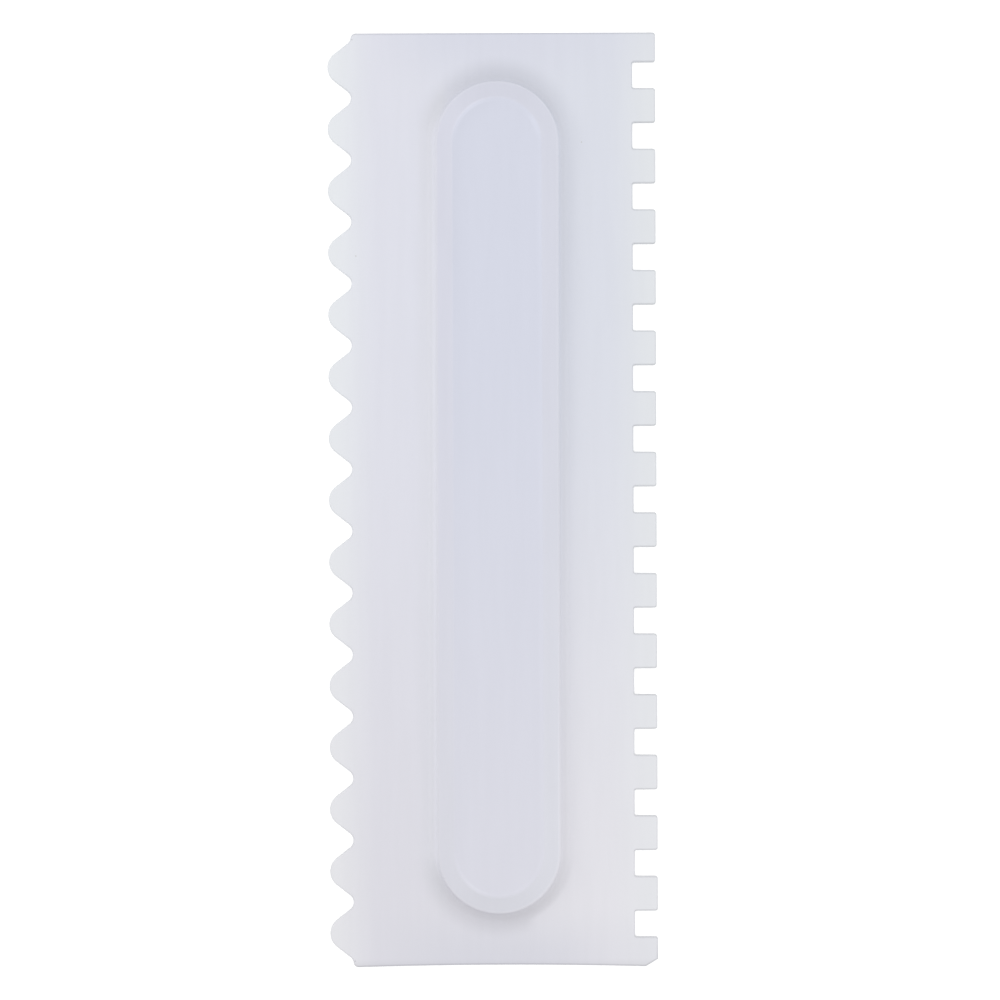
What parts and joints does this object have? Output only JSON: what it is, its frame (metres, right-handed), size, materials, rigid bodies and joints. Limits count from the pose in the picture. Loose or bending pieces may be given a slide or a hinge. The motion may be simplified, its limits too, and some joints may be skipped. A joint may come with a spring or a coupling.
{
  "type": "icing smoother",
  "caption": "Flat comb of translucent white plastic with a rounded wave edge, an opposite square-toothed edge and a long raised hollow grip.",
  "frame": {"origin": "centre of the bounding box, on the flat underside", "axes": "+X across the width towards the square teeth, +Y along the length towards the straight end, +Z out of the face with the raised grip"},
  "size_m": [0.08, 0.228, 0.006],
  "materials": {
    "frosted_polypropylene": "satin, translucent white"
  },
  "bodies": {
    "root": {"blade": "frosted_polypropylene", "grip_wall": "frosted_polypropylene", "grip_top": "frosted_polypropylene", "wave_lobes": "frosted_polypropylene", "square_teeth": "frosted_polypropylene"}
  },
  "joints": []
}
